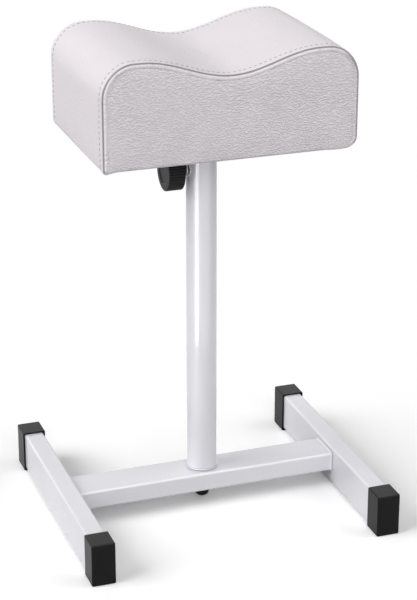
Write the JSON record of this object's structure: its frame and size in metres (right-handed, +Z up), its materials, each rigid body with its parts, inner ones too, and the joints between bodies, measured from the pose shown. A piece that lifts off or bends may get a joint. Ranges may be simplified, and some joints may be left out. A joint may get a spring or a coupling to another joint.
{
  "type": "pedicure footrest",
  "caption": "Free-standing footrest: a padded cushion with a wave-shaped leg saddle on a height-adjustable, swivelling column with a screw clamp, over an H-shaped tube base.",
  "frame": {"origin": "on the floor, under the column's axis, which is the middle of the base", "axes": "+Z up along the column, X along the crossbar and the cushion's length with the clamp knob at -X, Y across the cushion from front to rear"},
  "size_m": [0.4, 0.355, 0.616],
  "materials": {
    "powder_coat_white": "glossy white powder coat on steel tube",
    "cap_black": "moulded black plastic with a soft sheen",
    "knob_black": "moulded black plastic, ribbed rim",
    "zinc_plate": "bright zinc-plated steel fastener",
    "chrome_tube": "chromed steel tube",
    "brass_tip": "turned brass",
    "guide_nylon": "turned black nylon",
    "white_leatherette": "off-white coated upholstery cloth with a fine leather grain",
    "seat_foam": "open-cell foam",
    "plywood": "raw plywood",
    "dust_cloth": "black non-woven cloth"
  },
  "bodies": {
    "base": {"side_bar_left": "powder_coat_white", "side_bar_right": "powder_coat_white", "crossbar": "powder_coat_white", "foot_cap_front_left": "cap_black", "foot_cap_front_right": "cap_black", "foot_cap_rear_left": "cap_black", "foot_cap_rear_right": "cap_black", "column_foot_plug": "powder_coat_white", "outer_column": "powder_coat_white", "column_stud": "zinc_plate", "crossbar_spacer": "zinc_plate", "column_washer": "zinc_plate", "column_nut": "zinc_plate", "nut_cover": "cap_black", "guide_bush": "guide_nylon", "clamp_boss": "powder_coat_white", "clamp_ring": "cap_black"},
    "glide": {"column_glide": "guide_nylon"},
    "cushion": {"inner_column": "chrome_tube", "top_plate": "powder_coat_white", "plate_screw_front_left": "zinc_plate", "plate_screw_front_right": "zinc_plate", "plate_screw_rear_left": "zinc_plate", "plate_screw_rear_right": "zinc_plate", "board_insert_front_left": "zinc_plate", "board_insert_front_right": "zinc_plate", "board_insert_rear_left": "zinc_plate", "board_insert_rear_right": "zinc_plate", "seat_board": "plywood", "foam_core": "seat_foam", "cover_band": "white_leatherette", "cover_front_panel": "white_leatherette", "cover_rear_panel": "white_leatherette", "underside_cloth": "dust_cloth"},
    "clamp_tip": {"clamp_pad": "brass_tip"},
    "knob": {"clamp_knob": "knob_black", "clamp_rod": "zinc_plate"}
  },
  "joints": [
    {"name": "column_lift", "type": "slide", "parent": "base", "child": "glide", "axis": [0, 0, 1], "range_m": [0, 0.18]},
    {"name": "cushion_swivel", "type": "hinge", "parent": "glide", "child": "cushion", "pos_m": [0, 0, 0.49], "axis": [0, 0, 1], "continuous": true},
    {"name": "clamp_travel", "type": "slide", "parent": "base", "child": "clamp_tip", "axis": [-1, 0, 0], "range_m": [0, 0.00376]},
    {"name": "knob_turn", "type": "hinge", "parent": "clamp_tip", "child": "knob", "pos_m": [-0.041, 0, 0.45], "axis": [-1, 0, 0], "range_deg": [0, 1080]}
  ],
  "couplings": [
    {"joint": "clamp_travel", "follows": "knob_turn", "m_per_rad": 0.00019894}
  ]
}
